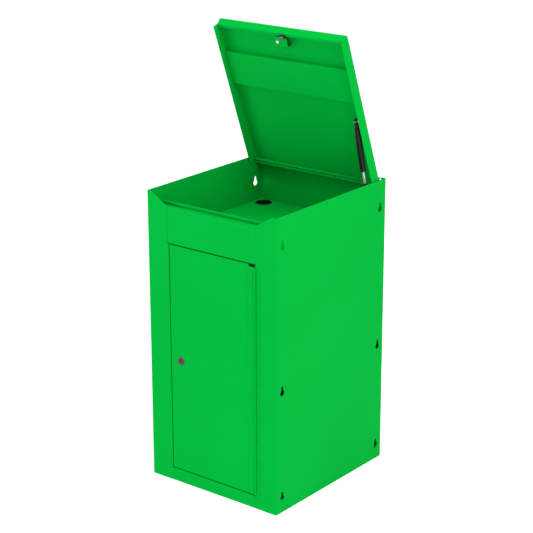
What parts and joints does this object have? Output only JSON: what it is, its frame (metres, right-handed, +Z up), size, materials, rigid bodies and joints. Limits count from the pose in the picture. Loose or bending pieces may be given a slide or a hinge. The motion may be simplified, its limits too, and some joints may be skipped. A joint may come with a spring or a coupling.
{
  "type": "workshop side cabinet",
  "caption": "Upright sheet-steel side cabinet: gas-spring lid over an open tray with a cable hole, and a locking hinged door below.",
  "frame": {"origin": "on the floor, at the middle of the cabinet's 482.6 x 539.75 mm footprint (the hinge and lock stand up to 5.5 mm in front of it)", "axes": "+Z up, +Y from the door towards the wall behind, +X to the right of a person facing the door; the lid is stored open, the door shut and unlocked"},
  "size_m": [0.4826, 0.5453, 1.3767],
  "materials": {
    "green_powder_coat": "semi-gloss powder coat with a fine orange peel",
    "hinge_steel": "zinc-plated steel",
    "dark_rivet": "dull dark steel",
    "zinc_steel": "bright zinc plate",
    "lock_metal": "dark plated die casting",
    "chrome_rod": "polished",
    "spring_steel": "bright wire",
    "black_enamel": "gloss black",
    "black_plastic": "fine matt",
    "black_rubber": "matt",
    "magnet": "ground faces"
  },
  "bodies": {
    "cabinet": {"side_panel_left": "green_powder_coat", "side_panel_right": "green_powder_coat", "back_panel": "green_powder_coat", "bottom_panel": "green_powder_coat", "front_sill": "green_powder_coat", "front_top_panel": "green_powder_coat", "tray_floor": "green_powder_coat", "rear_hinge_rail": "green_powder_coat", "cable_grommet": "black_rubber", "door_hinge_fixed_leaf": "green_powder_coat", "door_hinge_pin": "hinge_steel", "door_hinge_rivets": "green_powder_coat", "lid_hinge_fixed_leaf": "green_powder_coat", "lid_hinge_pin": "hinge_steel", "lid_hinge_rivets": "dark_rivet", "gas_spring_lower_bracket": "green_powder_coat", "door_bumpers": "black_rubber"},
    "door": {"door_panel": "green_powder_coat", "door_stiffener": "green_powder_coat", "door_hinge_moving_leaf": "green_powder_coat", "door_lock_housing": "lock_metal", "door_lock_nut": "zinc_steel"},
    "door_lock": {"door_lock_plug": "lock_metal", "door_lock_cam": "zinc_steel", "door_lock_cam_screw": "zinc_steel"},
    "lid": {"lid_panel": "green_powder_coat", "lid_stiffener": "green_powder_coat", "lid_hinge_moving_leaf": "green_powder_coat", "lid_catch_bracket": "green_powder_coat", "lid_catch_body": "black_plastic", "lid_catch_magnet": "magnet", "lid_catch_screw": "zinc_steel", "lid_catch_nut": "zinc_steel", "gas_spring_upper_stud": "zinc_steel"},
    "gas_spring_cylinder": {"gas_spring_tube": "black_enamel", "gas_spring_upper_socket": "black_plastic", "gas_spring_upper_clip": "spring_steel", "gas_spring_rod_guide": "black_plastic"},
    "gas_spring_rod": {"gas_spring_rod": "chrome_rod", "gas_spring_piston": "zinc_steel", "gas_spring_lower_socket": "black_plastic", "gas_spring_lower_clip": "spring_steel", "gas_spring_lower_stud": "zinc_steel"}
  },
  "joints": [
    {"name": "lid_hinge", "type": "hinge", "parent": "cabinet", "child": "lid", "pos_m": [0, 0.23453, 0.9053], "axis": [1, 0, 0], "range_deg": [0, 69.5], "stiffness_Nm_per_rad": 2, "springref_deg": -143.24},
    {"name": "door_hinge", "type": "hinge", "parent": "cabinet", "child": "door", "pos_m": [0.1666, -0.27277, 0.4033], "axis": [0, 0, 1], "range_deg": [0, 175]},
    {"name": "door_lock_turn", "type": "hinge", "parent": "door", "child": "door_lock", "pos_m": [-0.12, -0.26987, 0.402], "axis": [0, -1, 0], "range_deg": [0, 90]},
    {"name": "gas_spring_pivot", "type": "hinge", "parent": "lid", "child": "gas_spring_cylinder", "pos_m": [0.218, 0.14208, 1.11116], "axis": [1, 0, 0], "range_deg": [0, 7]},
    {"name": "gas_spring_slide", "type": "slide", "parent": "gas_spring_cylinder", "child": "gas_spring_rod", "axis": [0, -0.241, 0.9705], "range_m": [0, 0.0388]}
  ],
  "couplings": [
    {"joint": "gas_spring_pivot", "follows": "lid_hinge", "ratio": 0.099588},
    {"joint": "gas_spring_slide", "follows": "lid_hinge", "m_per_rad": 0.031853}
  ]
}
